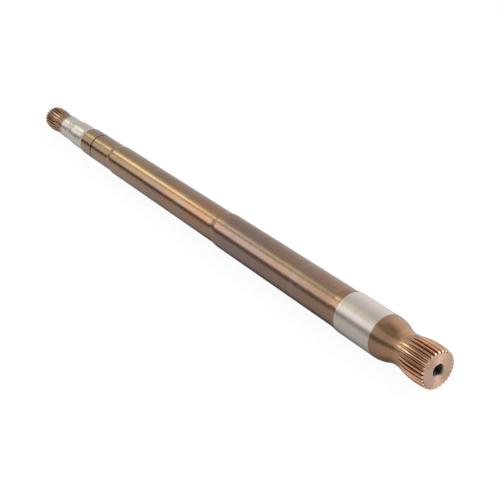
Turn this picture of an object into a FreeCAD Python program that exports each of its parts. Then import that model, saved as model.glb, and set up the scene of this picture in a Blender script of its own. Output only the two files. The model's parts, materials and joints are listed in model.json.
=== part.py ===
"""One-piece steel drive shaft with a crowned involute spline at each end.

The shaft lies along X. The near end has the tapped hole, and +X points out of it. A station is
a distance along the shaft from the near end face. The origin is on the axis, halfway along the
seat of the near bearing. Sizes are millimetres and degrees.
"""
import FreeCAD, Part
import math
import os

from FreeCAD import Vector

NODE = "drive_shaft"
AXIS = Vector(1, 0, 0)

# Teeth of one module on both splines
MODULE = 1.05
PRESSURE_ANGLE = 20.0
ADDENDUM = 1.12 * MODULE
DEDENDUM = 1.38 * MODULE
ROOT_SAG = 0.12
FACE_ABOVE_ROOT = 0.94
CHAMFER_LENGTH = 0.75

# Cutter that makes the tooth spaces: its radius, how far it turns out, and its clearance
CUTTER_R = 20.0
CUTTER_TURN = 34.0
CUTTER_CLEARANCE = 3.0

# Near end: crowned spline, waist and curved shoulder
NEAR_TEETH = 28
NEAR_FIRST_SPACE = 8.5
NEAR_CROWN_AT = 10.4
NEAR_LIFT_BEFORE_WAIST = 0.5
NEAR_WAIST_D = 26.6
NEAR_SHOULDER_R = 32.0

# Ground seat beside the near spline
NEAR_SEAT_D = 35.0
NEAR_SEAT_LENGTH = 41.0
NEAR_SEAT_TAPER = 7.0

# Turned lengths between the seats, each ending in a short taper
BODY_D = 33.2
BODY_LENGTH = 165.6
BODY_TAPER = 7.0
MIDDLE_D = 31.4
MIDDLE_LENGTH = 200.0
MIDDLE_TAPER = 6.0
COLLAR_D = 29.5
COLLAR_LENGTH = 64.0

# Retaining-ring groove in the collar, measured back from the collar's far edge
RING_GROOVE_FROM_EDGE = 25.0
RING_GROOVE_WIDTH = 1.6
RING_GROOVE_DEPTH = 0.8

# Ground lengths beside the far spline
FAR_SEAT_TAPER = 6.0
FAR_SEAT_D = 27.6
FAR_SEAT_LENGTH = 23.0
FAR_CONE_LENGTH = 15.0
JOURNAL_D = 25.0
JOURNAL_LENGTH = 14.2

# Far end: the same form on a smaller pitch circle
FAR_TEETH = 23
FAR_FIRST_SPACE = 10.5
FAR_LIFT_PAST_WAIST = 3.0
FAR_WAIST_D = 23.1
FAR_SHOULDER_R = 105.0
FAR_CROWN_TO_END = 11.2

# Arcs that both spline ends share
CROWN_R = 62.0
NECK_R = 26.0

# Tapped hole in the near end face, modelled at its drilled size
THREAD_DRILL_D = 8.5
THREAD_MOUTH_D = 10.6
THREAD_DEPTH = 30.0
MOUTH_ANGLE = 45.0
DRILL_POINT_ANGLE = 59.0

# Lathe centre in the far end face
CENTRE_PILOT_D = 3.15
CENTRE_PILOT_DEPTH = 9.0
CENTRE_MOUTH_D = 6.7
CENTRE_ANGLE = 30.0

# Spline diameters
NEAR_TIP_D = NEAR_TEETH * MODULE + 2 * ADDENDUM
NEAR_ROOT_D = NEAR_TEETH * MODULE - 2 * DEDENDUM
NEAR_FACE_D = NEAR_ROOT_D + 2 * FACE_ABOVE_ROOT
FAR_TIP_D = FAR_TEETH * MODULE + 2 * ADDENDUM
FAR_ROOT_D = FAR_TEETH * MODULE - 2 * DEDENDUM
FAR_FACE_D = FAR_ROOT_D + 2 * FACE_ABOVE_ROOT


def blend_length(high_diameter, high_arc, low_diameter):
    """Length between the top of an arc and the bottom of the neck arc that it runs into."""
    fall = (high_diameter - low_diameter) / 2
    reach = high_arc + NECK_R
    return math.sqrt(reach ** 2 - (reach - fall) ** 2)


# Stations of the outline, each from the one before it
NEAR_WAIST_AT = NEAR_CROWN_AT + blend_length(NEAR_TIP_D, CROWN_R, NEAR_WAIST_D)
NEAR_SEAT_AT = NEAR_WAIST_AT + blend_length(NEAR_SEAT_D, NEAR_SHOULDER_R, NEAR_WAIST_D)
NEAR_SEAT_END = NEAR_SEAT_AT + NEAR_SEAT_LENGTH
BODY_AT = NEAR_SEAT_END + NEAR_SEAT_TAPER
BODY_END = BODY_AT + BODY_LENGTH
MIDDLE_AT = BODY_END + BODY_TAPER
MIDDLE_END = MIDDLE_AT + MIDDLE_LENGTH
COLLAR_AT = MIDDLE_END + MIDDLE_TAPER
COLLAR_END = COLLAR_AT + COLLAR_LENGTH
FAR_SEAT_AT = COLLAR_END + FAR_SEAT_TAPER
FAR_SEAT_END = FAR_SEAT_AT + FAR_SEAT_LENGTH
JOURNAL_AT = FAR_SEAT_END + FAR_CONE_LENGTH
JOURNAL_END = JOURNAL_AT + JOURNAL_LENGTH
FAR_WAIST_AT = JOURNAL_END + blend_length(JOURNAL_D, FAR_SHOULDER_R, FAR_WAIST_D)
FAR_CROWN_AT = FAR_WAIST_AT + blend_length(FAR_TIP_D, CROWN_R, FAR_WAIST_D)
SHAFT_LENGTH = FAR_CROWN_AT + FAR_CROWN_TO_END
ORIGIN_AT = NEAR_SEAT_AT + NEAR_SEAT_LENGTH / 2


class Circle:
    """A circle of the outline. bulge is 1 where the metal is inside it and -1 where it is outside."""

    def __init__(self, station, radius_there, size, bulge):
        self.station = station
        self.centre = radius_there - bulge * size
        self.size = size
        self.bulge = bulge

    def at(self, station):
        """Shaft radius where the circle passes that station."""
        return self.centre + self.bulge * math.sqrt(self.size ** 2 - (station - self.station) ** 2)

    def meets(self, other):
        """The point where two circles that bulge opposite ways touch."""
        share = self.size / (self.size + other.size)
        radius = self.centre + (other.centre - self.centre) * share
        return (self.station + (other.station - self.station) * share, radius)


def outline_point(station, radius):
    """A point of the half outline, which is drawn in the XZ plane."""
    return Vector(ORIGIN_AT - station, 0, radius)


def line(start, end):
    """A straight edge between two (station, radius) points."""
    return Part.LineSegment(outline_point(*start), outline_point(*end)).toShape()


def arc(circle, start, end):
    """The circle's edge from start to end, through its own point halfway between their stations."""
    middle = (start[0] + end[0]) / 2
    points = (start, (middle, circle.at(middle)), end)
    return Part.Arc(*(outline_point(*point) for point in points)).toShape()


def crown_circle(station, tip_diameter):
    """The barrel-shaped top of a spline's teeth."""
    return Circle(station, tip_diameter / 2, CROWN_R, 1)


def waist_circle(station, waist_diameter):
    """The hollow between a spline and the ground length beside it."""
    return Circle(station, waist_diameter / 2, NECK_R, -1)


def shoulder_circle(station, seat_diameter, size):
    """The curved shoulder that rises from the waist to a ground length."""
    return Circle(station, seat_diameter / 2, size, 1)


def spline_end(face, chamfer_at, crown, waist, shoulder, seat_edge):
    """Outline edges from an end face to the ground length: chamfer, crown, neck and shoulder."""
    tooth_end = (chamfer_at, crown.at(chamfer_at))
    crown_foot = crown.meets(waist)
    shoulder_foot = shoulder.meets(waist)
    return [
        line(face, tooth_end),
        arc(crown, tooth_end, crown_foot),
        arc(waist, crown_foot, shoulder_foot),
        arc(shoulder, shoulder_foot, seat_edge),
    ]


def near_end_edges():
    """Near end face to the start of the near seat."""
    return spline_end(
        (0.0, NEAR_FACE_D / 2),
        CHAMFER_LENGTH,
        crown_circle(NEAR_CROWN_AT, NEAR_TIP_D),
        waist_circle(NEAR_WAIST_AT, NEAR_WAIST_D),
        shoulder_circle(NEAR_SEAT_AT, NEAR_SEAT_D, NEAR_SHOULDER_R),
        (NEAR_SEAT_AT, NEAR_SEAT_D / 2),
    )


def far_end_edges():
    """Far end face back to the end of the journal."""
    return spline_end(
        (SHAFT_LENGTH, FAR_FACE_D / 2),
        SHAFT_LENGTH - CHAMFER_LENGTH,
        crown_circle(FAR_CROWN_AT, FAR_TIP_D),
        waist_circle(FAR_WAIST_AT, FAR_WAIST_D),
        shoulder_circle(JOURNAL_END, JOURNAL_D, FAR_SHOULDER_R),
        (JOURNAL_END, JOURNAL_D / 2),
    )


def middle_edges():
    """The turned and ground lengths between the two splined ends."""
    corners = [
        (NEAR_SEAT_AT, NEAR_SEAT_D),
        (NEAR_SEAT_END, NEAR_SEAT_D),
        (BODY_AT, BODY_D),
        (BODY_END, BODY_D),
        (MIDDLE_AT, MIDDLE_D),
        (MIDDLE_END, MIDDLE_D),
        (COLLAR_AT, COLLAR_D),
        (COLLAR_END, COLLAR_D),
        (FAR_SEAT_AT, FAR_SEAT_D),
        (FAR_SEAT_END, FAR_SEAT_D),
        (JOURNAL_AT, JOURNAL_D),
        (JOURNAL_END, JOURNAL_D),
    ]
    points = [(station, diameter / 2) for station, diameter in corners]
    return [line(start, end) for start, end in zip(points, points[1:])]


def turned_blank():
    """The shaft before its splines are cut: the outline turned about the axis."""
    near_face = (0.0, NEAR_FACE_D / 2)
    far_face = (SHAFT_LENGTH, FAR_FACE_D / 2)
    closing = [
        line(far_face, (SHAFT_LENGTH, 0.0)),
        line((SHAFT_LENGTH, 0.0), (0.0, 0.0)),
        line((0.0, 0.0), near_face),
    ]
    edges = near_end_edges() + middle_edges() + far_end_edges() + closing
    outline = Part.Wire(Part.__sortEdges__(edges))
    return Part.Face(outline).revolve(Vector(), AXIS, 360)


def turned_tool(corners):
    """A solid of revolution from (station, radius) corners."""
    points = [outline_point(*corner) for corner in corners]
    return Part.Face(Part.makePolygon(points + points[:1])).revolve(Vector(), AXIS, 360)


def ring_groove_tool():
    """The square groove for the retaining ring."""
    start = COLLAR_END - RING_GROOVE_FROM_EDGE
    end = start + RING_GROOVE_WIDTH
    floor = COLLAR_D / 2 - RING_GROOVE_DEPTH
    clear = COLLAR_D / 2 + CUTTER_CLEARANCE
    return turned_tool([(start, floor), (end, floor), (end, clear), (start, clear)])


def drilled_tool(mouth_d, drill_d, depth, mouth_angle, point_angle, station, inward):
    """A drilled hole with a countersunk mouth. inward is 1 to drill away from the near end."""
    mouth, drill = mouth_d / 2, drill_d / 2
    mouth_depth = (mouth - drill) / math.tan(math.radians(mouth_angle))
    point_depth = drill / math.tan(math.radians(point_angle))
    depths = [
        (-CUTTER_CLEARANCE, 0.0),
        (-CUTTER_CLEARANCE, mouth),
        (0.0, mouth),
        (mouth_depth, drill),
        (depth, drill),
        (depth + point_depth, 0.0),
    ]
    return turned_tool([(station + inward * deep, radius) for deep, radius in depths])


def involute(angle):
    """The involute function of a pressure angle in radians."""
    return math.tan(angle) - angle


def space_half_angle(radius, teeth):
    """Half the angle that a tooth space takes up at that radius. Inside the base circle it stays."""
    pressure = math.radians(PRESSURE_ANGLE)
    base = teeth * MODULE / 2 * math.cos(pressure)
    local = math.acos(min(1.0, base / radius))
    return math.pi / (2 * teeth) - involute(pressure) + involute(local)


def space_section(station, teeth, root_radius):
    """Cross-section of one tooth space: a sagging root, two involute flanks and a flat lid."""
    base = teeth * MODULE / 2 * math.cos(math.radians(PRESSURE_ANGLE))
    low = max(base, root_radius + ROOT_SAG)
    lid = root_radius + ADDENDUM + DEDENDUM + CUTTER_CLEARANCE

    def flank_point(radius, side):
        angle = side * space_half_angle(radius, teeth)
        return Vector(ORIGIN_AT - station, radius * math.sin(angle), radius * math.cos(angle))

    def flank(side):
        points = (flank_point(radius, side) for radius in (low, (low + lid) / 2, lid))
        return Part.Arc(*points).toShape()

    def foot(side):
        return flank_point(root_radius + ROOT_SAG, side)

    root = Part.Arc(foot(-1), outline_point(station, root_radius), foot(1)).toShape()
    roof = Part.LineSegment(flank_point(lid, -1), flank_point(lid, 1)).toShape()
    edges = [root, flank(1), roof, flank(-1)]
    if base > root_radius + ROOT_SAG:
        edges.insert(1, Part.LineSegment(foot(1), flank_point(low, 1)).toShape())
        edges.append(Part.LineSegment(flank_point(low, -1), foot(-1)).toShape())
    return Part.Wire(edges)


def cutter_path(end_station, lift_station, root_radius):
    """Path of the cutter's lowest point: straight in along the root, then up and out on an arc."""
    way = 1 if lift_station > end_station else -1
    start = (end_station - way * CUTTER_CLEARANCE, root_radius)
    lift = (lift_station, root_radius)
    lifting = Circle(lift_station, root_radius, CUTTER_R, -1)
    out = lift_station + way * CUTTER_R * math.sin(math.radians(CUTTER_TURN))
    return Part.Wire([line(start, lift), arc(lifting, lift, (out, lifting.at(out)))]), start


def tooth_space_tools(end_station, lift_station, teeth, root_radius, first_space):
    """One space carried along the cutter's path without turning, then copied round the axis."""
    path, start = cutter_path(end_station, lift_station, root_radius)
    sweep = Part.BRepOffsetAPI.MakePipeShell(path)
    sweep.setTrihedronMode(Vector(), AXIS)
    sweep.add(space_section(start[0], teeth, root_radius), False, False)
    sweep.build()
    sweep.makeSolid()
    tool = sweep.shape()
    turns = (first_space + 360.0 * index / teeth for index in range(teeth))
    return [tool.rotated(Vector(), AXIS, turn) for turn in turns]


def near_spline_tools():
    """Tooth spaces of the near spline, which fade out just past the waist."""
    lift_at = NEAR_WAIST_AT - NEAR_LIFT_BEFORE_WAIST
    return tooth_space_tools(0.0, lift_at, NEAR_TEETH, NEAR_ROOT_D / 2, NEAR_FIRST_SPACE)


def far_spline_tools():
    """Tooth spaces of the far spline, which run through the waist and out in its shoulder."""
    lift_at = FAR_WAIST_AT - FAR_LIFT_PAST_WAIST
    return tooth_space_tools(
        SHAFT_LENGTH, lift_at, FAR_TEETH, FAR_ROOT_D / 2, FAR_FIRST_SPACE
    )


def drive_shaft():
    """The finished shaft: blank, ring groove, two holes and two rows of tooth spaces."""
    tapped_hole = drilled_tool(
        THREAD_MOUTH_D, THREAD_DRILL_D, THREAD_DEPTH, MOUTH_ANGLE, DRILL_POINT_ANGLE, 0.0, 1
    )
    lathe_centre = drilled_tool(
        CENTRE_MOUTH_D, CENTRE_PILOT_D, CENTRE_PILOT_DEPTH, CENTRE_ANGLE, DRILL_POINT_ANGLE,
        SHAFT_LENGTH, -1,
    )
    shaft = turned_blank().cut([ring_groove_tool(), tapped_hole, lathe_centre])
    return shaft.cut(near_spline_tools() + far_spline_tools())


def main():
    os.makedirs("parts", exist_ok=True)
    shaft = drive_shaft()
    solid = shaft.Solids[0]
    solid.exportStep(os.path.join("parts", NODE + ".step"))
    print(f"{NODE}: valid {solid.isValid()}, {len(shaft.Solids)} solid, "
          f"{len(solid.Faces)} faces, {solid.Volume / 1000:.1f} cm3, length {SHAFT_LENGTH:.1f} mm")


main()
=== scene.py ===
"""Looks of a one-piece drive shaft: ground seats, heat-tinted lengths and two crowned splines.

The shaft lies along X, in metres. A station is a distance from the near end face, which has the
tapped hole and which +X points out of. A depth is a distance in from either end face. An angle
round the shaft is measured from straight up towards -Y.
"""
import json
import math

import bmesh
import bpy
import numpy as np
from bpy.props import FloatProperty, FloatVectorProperty, IntProperty, PointerProperty
from mathutils import Matrix, Vector


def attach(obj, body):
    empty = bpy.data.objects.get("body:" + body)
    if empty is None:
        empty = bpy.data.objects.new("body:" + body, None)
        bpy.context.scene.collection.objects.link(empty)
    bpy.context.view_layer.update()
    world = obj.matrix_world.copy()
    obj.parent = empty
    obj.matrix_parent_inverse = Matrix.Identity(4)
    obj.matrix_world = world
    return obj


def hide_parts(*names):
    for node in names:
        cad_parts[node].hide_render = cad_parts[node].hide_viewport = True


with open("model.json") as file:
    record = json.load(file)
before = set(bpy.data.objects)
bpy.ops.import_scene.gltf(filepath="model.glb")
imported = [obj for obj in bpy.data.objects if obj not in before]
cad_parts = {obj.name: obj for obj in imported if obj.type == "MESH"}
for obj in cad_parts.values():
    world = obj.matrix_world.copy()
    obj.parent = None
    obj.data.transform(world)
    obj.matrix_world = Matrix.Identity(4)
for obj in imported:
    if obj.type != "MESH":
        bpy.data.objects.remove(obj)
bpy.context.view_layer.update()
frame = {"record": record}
MOUNTS = {mount["name"]: mount for mount in frame["record"]["mounts"]}

bl_info = {
    "name": "Drive Shaft",
    "version": (1, 0, 0),
    "blender": (4, 5, 0),
    "location": "View3D > Sidebar > Drive Shaft",
    "description": "Builds a splined drive shaft and its studio",
    "category": "Mesh",
}

NODE = "drive_shaft"
BODY = "root"

# Finishes, in the order of the mesh's material slots
TINTED, GROUND, FACED, BORED = range(4)

# Points round the grids
ROOT_STEPS = 3  # across half a root
FLANK_STEPS = 4
LAND_STEPS = 3  # from a tooth's edge to its middle
BAR_COLUMNS = 144
HOLE_COLUMNS = 96

# Rows along the grids
THREAD_ROWS = 8  # in each turn
CHAMFER_ROWS = 4
TEETH_ROWS = 22
RUNOUT_ROWS = 20
ARC_ROWS = 26
NEAR_FACE_ROWS = 6
FAR_FACE_ROWS = 5
CORNER_ROWS = 5

# Distances on the grids, in metres
FACE_GAP = 0.0004  # from an end face's last ring to the tooth roots
RUNOUT_LEAD = 0.004  # from the start of the closer rows to the cutter's lift
RUNOUT_REACH = 0.0026  # from there to the end of the near teeth
RING_GAP = 0.0006  # from the teeth to the first plain ring, and beside a corner
STRETCH_GAP = 0.014  # along a straight stretch
FLANK_SPREAD = 15e-6  # along a flank where its tooth has run out
EDGE_GAP = 7.5e-6  # from there to the tooth's edge
WELD = 1e-6

# Shares
EDGE_SHARE = 0.3  # of a tooth's height, the most that its broken edge takes
CORNER_SHARE = 0.4  # of a straight stretch, the most that a softened corner takes
THREAD_FLAT = 0.2  # of the rise to a thread's crest, the part that stays at the drilled size
FADE_TURNS = 1.5  # turns in which the thread fades out

SHARP_ANGLE = math.radians(34)


def mount_diameter(name):
    """Diameter of one of the record's mounts, in metres."""
    return 2 * MOUNTS[name]["dims"]["r_mm"] / 1000


def mount_length(name):
    """Length of one of the record's mounts, in metres."""
    return MOUNTS[name]["dims"]["length_mm"] / 1000


def length(name, description, default):
    """A size in metres that the panel shows."""
    return FloatProperty(
        name=name, description=description, default=default,
        precision=5, subtype="DISTANCE", unit="LENGTH",
    )


def turn(name, description, degrees):
    """An angle that the panel shows in degrees."""
    return FloatProperty(
        name=name, description=description, default=math.radians(degrees),
        subtype="ANGLE", unit="ROTATION",
    )


def tint(name, description, default):
    """A linear colour that the panel shows as a swatch."""
    return FloatVectorProperty(
        name=name, description=description, default=default,
        size=3, min=0.0, max=1.0, subtype="COLOR",
    )


def count(name, description, default):
    """A whole number that the panel shows."""
    return IntProperty(name=name, description=description, default=default, min=3)


class ToothForm(bpy.types.PropertyGroup):
    """What the teeth of both splines share."""
    module: length("Module", "Pitch diameter for each tooth", 0.00105)
    pressure_angle: turn("Pressure angle", "Pressure angle of the involute flanks", 20.0)
    addendum: length("Addendum", "Height of the teeth above the pitch circle", 0.001176)
    dedendum: length("Dedendum", "Depth of the roots below the pitch circle", 0.001449)
    root_sag: length("Root sag", "Sag of the rounded root", 0.00012)
    face_step: length("Face step", "Height of the end face's edge above the roots", 0.00094)
    chamfer: length("Chamfer", "Length of the chamfer on the teeth", 0.00075)
    crown_radius: length("Crown radius", "Arc of the barrel-shaped tooth tops", 0.062)
    neck_radius: length("Neck radius", "Arc of the hollow behind a spline", 0.026)
    cutter_radius: length("Cutter radius", "Arc on which the spaces run out", 0.020)
    tip_break: length("Tip break", "Broken edge along the tooth tops", 0.00012)


class NearSpline(bpy.types.PropertyGroup):
    """Spline at the end with the tapped hole."""
    teeth: count("Teeth", "Teeth of the near spline", 28)
    first_space: turn("First space", "Angle of the first tooth space", 8.5)
    crown_at: length("Crown depth", "Depth of the highest point of the crown", 0.0104)
    waist_diameter: length("Waist diameter", "Hollow behind the near spline", 0.0266)
    shoulder_radius: length("Shoulder radius", "Arc that rises to the near seat", 0.032)
    lift_past_waist: length("Cutter lift", "How far past the waist the cutter lifts", -0.0005)


class FarSpline(bpy.types.PropertyGroup):
    """Spline at the plain end."""
    teeth: count("Teeth", "Teeth of the far spline", 23)
    first_space: turn("First space", "Angle of the first tooth space", 10.5)
    crown_at: length("Crown depth", "Depth of the highest point of the crown", 0.0112)
    waist_diameter: length("Waist diameter", "Hollow behind the far spline", 0.0231)
    shoulder_radius: length("Shoulder radius", "Arc that rises to the journal", 0.105)
    lift_past_waist: length("Cutter lift", "How far past the waist the cutter lifts", 0.003)


class BarSizes(bpy.types.PropertyGroup):
    """Turned and ground lengths between the two splines."""
    near_seat: length("Near seat", "Diameter of the near seat", mount_diameter("bearing_seat"))
    near_seat_length: length(
        "Near seat length", "Length of the near seat", mount_length("bearing_seat")
    )
    near_seat_taper: length("Near seat taper", "Taper from the near seat to the body", 0.007)
    body: length("Body", "Diameter of the body", 0.0332)
    body_length: length("Body length", "Length of the body", 0.1656)
    body_taper: length("Body taper", "Taper from the body to the middle", 0.007)
    middle: length("Middle", "Diameter of the middle", 0.0314)
    middle_length: length("Middle length", "Length of the middle", 0.200)
    middle_taper: length("Middle taper", "Taper from the middle to the collar", 0.006)
    collar: length("Collar", "Diameter of the collar", mount_diameter("small_bearing_seat"))
    collar_length: length("Collar length", "Length of the collar", 0.064)
    groove_from_edge: length("Groove place", "Ring groove back from the collar's edge", 0.025)
    groove_width: length("Groove width", "Width of the ring groove", 0.0016)
    groove_depth: length("Groove depth", "Depth of the ring groove", 0.0008)
    far_seat_taper: length("Far seat taper", "Taper from the collar to the far seat", 0.006)
    far_seat: length("Far seat", "Diameter of the far seat", mount_diameter("seal_seat"))
    far_seat_length: length("Far seat length", "Length of the far seat", mount_length("seal_seat"))
    far_cone_length: length("Far cone", "Length of the cone to the journal", 0.015)
    journal: length("Journal", "Diameter of the journal", 0.025)
    journal_length: length("Journal length", "Length of the journal", 0.0142)
    ground_start: length("Ground start", "Tinted strip left at the near seat's first edge", 0.0004)
    ground_lip: length("Ground lip", "Tinted strip left at the near seat's far edge", 0.0009)
    corner_softness: length("Corner softness", "Reach of the softened corners", 0.0009)
    edge_softness: length("Edge softness", "Reach of the broken edges of the ring groove", 0.00012)


class HoleSizes(bpy.types.PropertyGroup):
    """Tapped hole in the near face and lathe centre in the far face."""
    drill: length("Drill", "Diameter drilled for the thread", mount_diameter("end_thread"))
    mouth: length("Mouth", "Diameter of the countersunk mouth", 0.0106)
    depth: length("Hole depth", "Depth of the drilled hole", 0.030)
    major: length("Thread diameter", "Largest diameter of the thread", 0.010)
    pitch: length("Thread pitch", "Pitch of the thread", 0.0015)
    thread_depth: length("Thread depth", "Depth that the thread reaches", 0.026)
    centre_mouth: length("Centre mouth", "Mouth of the lathe centre", 0.0067)
    centre_pilot: length("Centre pilot", "Pilot hole of the lathe centre", 0.00315)
    centre_depth: length("Centre depth", "Depth of the pilot hole", 0.009)
    centre_angle: turn("Centre angle", "Half angle of the lathe centre", 30.0)
    point_angle: turn("Drill point", "Half angle of a drill's point", 59.0)


class SteelFinish(bpy.types.PropertyGroup):
    """Colours of the steel and of its temper film."""
    ground: tint("Ground steel", "Bare steel of the ground seats", (0.49, 0.43, 0.395))
    brown: tint("Brown film", "Temper film of the body", (0.235, 0.150, 0.108))
    mauve: tint("Mauve film", "Cooler temper film", (0.215, 0.148, 0.122))
    copper: tint("Copper film", "Warmest temper film", (0.300, 0.168, 0.103))
    gold: tint("Gold film", "Yellow-brown temper film", (0.290, 0.182, 0.110))
    slate: tint("Slate film", "Blue-grey rings in the film", (0.240, 0.190, 0.165))
    spline: tint("Spline film", "Film on the necks and teeth", (0.330, 0.185, 0.105))
    crest: tint("Crest film", "Film on the tops of the near teeth", (0.550, 0.315, 0.200))
    # Residue in the tooth spaces together with painted shade, which deepens towards their roots
    soot_and_shade: tint("Soot", "Residue in the tooth spaces", (0.230, 0.130, 0.085))
    faced: tint("Faced end", "Turned end faces", (0.660, 0.430, 0.280))
    fan: tint("Cooler face", "Cooler rings of the end faces", (0.500, 0.345, 0.280))
    facet: tint("Facets", "Chamfers on the tooth ends", (0.850, 0.640, 0.440))
    mouth: tint("Hole mouth", "Countersunk mouths", (0.300, 0.260, 0.235))
    # Dark steel deeper in the holes: painted shade
    bore_shade: tint("Bored steel", "Oiled steel inside the holes", (0.055, 0.046, 0.040))


class StudioSizes(bpy.types.PropertyGroup):
    """Camera, floor and light."""
    azimuth: turn("Azimuth", "Turn of the camera about Z; 0 looks along +Y", 56.5)
    elevation: turn("Elevation", "How far the camera looks down", 26.15)
    back: length("Camera distance", "Near face to camera along the view", 0.656851)
    face_right: length("Face right", "How far the near face is right of the view's axis", 0.127354)
    face_below: length("Face below", "How far the near face is below the view's axis", 0.082029)
    focal_pixels: FloatProperty(
        name="Focal length", description="Focal length in pixels", default=970.0
    )
    frame_shift: FloatProperty(
        name="Frame shift", description="Share of the frame that the picture moves right and down",
        default=0.001, precision=4,
    )
    floor_size: length("Floor", "Side of the square floor", 8.0)


def blend_length(high, high_arc, low, low_arc):
    """Length from the top of an arc down to the bottom of a hollow arc that it touches.

    The square root of reach^2 - (reach - fall)^2, where reach is both arcs' radii together.
    """
    reach = high_arc + low_arc
    return math.sqrt(reach ** 2 - (reach - (high - low)) ** 2)


def arc_height(place, top_at, top, size, bulge):
    """Radius on an outline arc: top - bulge * (size - the root of size^2 - (place - top_at)^2)."""
    drop = size - np.sqrt(np.maximum(size ** 2 - (place - top_at) ** 2, 0.0))
    return top - bulge * drop


def involute(angle):
    """The involute function, tan(angle) - angle."""
    return np.tan(angle) - angle


class SplineEnd:
    """The form of one splined end, by depth from its end face."""

    def __init__(self, spline, tooth, seat_diameter):
        self.tooth = tooth
        self.teeth = spline.teeth
        self.first_space = spline.first_space
        pitch_radius = spline.teeth * tooth.module / 2
        self.tip = pitch_radius + tooth.addendum
        self.root = pitch_radius - tooth.dedendum
        self.foot = self.root + tooth.root_sag
        self.base = pitch_radius * math.cos(tooth.pressure_angle)
        self.face = self.root + tooth.face_step
        self.waist = spline.waist_diameter / 2
        self.seat = seat_diameter / 2
        self.shoulder = spline.shoulder_radius
        self.crown_at = spline.crown_at
        self.waist_at = self.crown_at + blend_length(
            self.tip, tooth.crown_radius, self.waist, tooth.neck_radius
        )
        self.seat_at = self.waist_at + blend_length(
            self.seat, self.shoulder, self.waist, tooth.neck_radius
        )
        self.lift_at = self.waist_at + spline.lift_past_waist

    def radius(self, depth):
        """Outline radius: chamfer cone, crown arc, hollow arc and shoulder arc, then the seat."""
        tooth = self.tooth
        crown_part = tooth.crown_radius / (tooth.crown_radius + tooth.neck_radius)
        crown_foot = self.crown_at + (self.waist_at - self.crown_at) * crown_part
        shoulder_part = self.shoulder / (self.shoulder + tooth.neck_radius)
        shoulder_foot = self.seat_at - (self.seat_at - self.waist_at) * shoulder_part
        crown = arc_height(depth, self.crown_at, self.tip, tooth.crown_radius, 1)
        chamfer_top = arc_height(tooth.chamfer, self.crown_at, self.tip, tooth.crown_radius, 1)
        cone = self.face + (chamfer_top - self.face) * depth / tooth.chamfer
        hollow = arc_height(depth, self.waist_at, self.waist, tooth.neck_radius, -1)
        shoulder = arc_height(depth, self.seat_at, self.seat, self.shoulder, 1)
        ends = (tooth.chamfer, crown_foot, shoulder_foot, self.seat_at)
        return np.select([depth < end for end in ends], [cone, crown, hollow, shoulder], self.seat)

    def cutter_lift(self, depth):
        """How far the cutter has lifted on its own arc: size - the root of size^2 - past^2."""
        past = np.maximum(depth - self.lift_at, 0.0)
        size = self.tooth.cutter_radius
        return size - np.sqrt(size ** 2 - past ** 2)

    def space_half_angle(self, radius):
        """Half of a space: pi / (2 teeth) - inv(pressure angle) + inv(acos(base / radius))."""
        local = np.arccos(np.minimum(1.0, self.base / radius))
        at_pitch = math.pi / (2 * self.teeth) - involute(self.tooth.pressure_angle)
        return at_pitch + involute(local)

    def half_space(self, depth):
        """Angles and radii from the middle of a space to the middle of a tooth, one row a depth.

        The root is a parabola between its two feet, the flank an involute, the tooth's edge is
        broken, and its top lies on the outline. The space is moved out by the cutter's lift, and
        where it would stand above the outline it is cut off there. Each point is set a little past
        the one before it, so that none fall together where the tooth has no height.
        """
        outline = self.radius(depth)[:, None]
        lift = self.cutter_lift(depth)[:, None]
        foot_angle = self.space_half_angle(self.foot)
        across = np.linspace(0.0, 1.0, ROOT_STEPS + 1)[None]
        root_y = across * self.foot * np.sin(foot_angle)
        root_z = self.root + across ** 2 * (self.foot * np.cos(foot_angle) - self.root) + lift

        edge = np.clip(EDGE_SHARE * (outline - self.foot - lift), 0.0, self.tooth.tip_break)
        leaning = self.space_half_angle(np.maximum(outline - lift, self.foot))
        aside, outward = lift * np.sin(leaning), lift * np.cos(leaning)
        top = np.sqrt((outline - edge) ** 2 - aside ** 2) - outward
        up = np.linspace(0.0, 1.0, FLANK_STEPS + 1)[None, 1:]
        flank = self.foot + up * (np.maximum(top, self.foot) - self.foot)
        flank_angle = self.space_half_angle(flank)
        flank_y = flank * np.sin(flank_angle)
        flank_z = flank * np.cos(flank_angle) + lift

        cut_y = np.concatenate([np.broadcast_to(root_y, root_z.shape), flank_y], axis=1)
        cut_z = np.concatenate([root_z, flank_z], axis=1)
        cut_angle = np.arctan2(cut_y, cut_z)
        cut_angle[:, ROOT_STEPS + 1:] += up * FLANK_SPREAD / self.root
        edge_angle = cut_angle[:, -1:] + (edge + EDGE_GAP) / outline
        over = np.linspace(0.0, 1.0, LAND_STEPS + 1)[None]
        land_angle = edge_angle + over * (math.pi / self.teeth - edge_angle)
        angle = np.concatenate([cut_angle, land_angle], axis=1)
        land_radius = np.repeat(outline, LAND_STEPS + 1, axis=1)
        radius = np.concatenate([np.hypot(cut_y, cut_z), land_radius], axis=1)
        return angle, np.minimum(radius, outline), outline

    def rings(self, depth):
        """Angles, radii and space depths of whole rings: a half space and its mirror, all round."""
        half_angle, half_radius, outline = self.half_space(depth)
        pitch = 2 * math.pi / self.teeth
        angle = np.concatenate([half_angle, pitch - half_angle[:, -2:0:-1]], axis=1)
        radius = np.concatenate([half_radius, half_radius[:, -2:0:-1]], axis=1)
        starts = self.first_space + pitch * np.arange(self.teeth)
        angles = (angle[:, None, :] + starts[None, :, None]).reshape(len(depth), -1)
        radii = np.tile(radius, self.teeth)
        return angles, radii, (outline - radii) / (self.tip - self.root)


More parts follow.
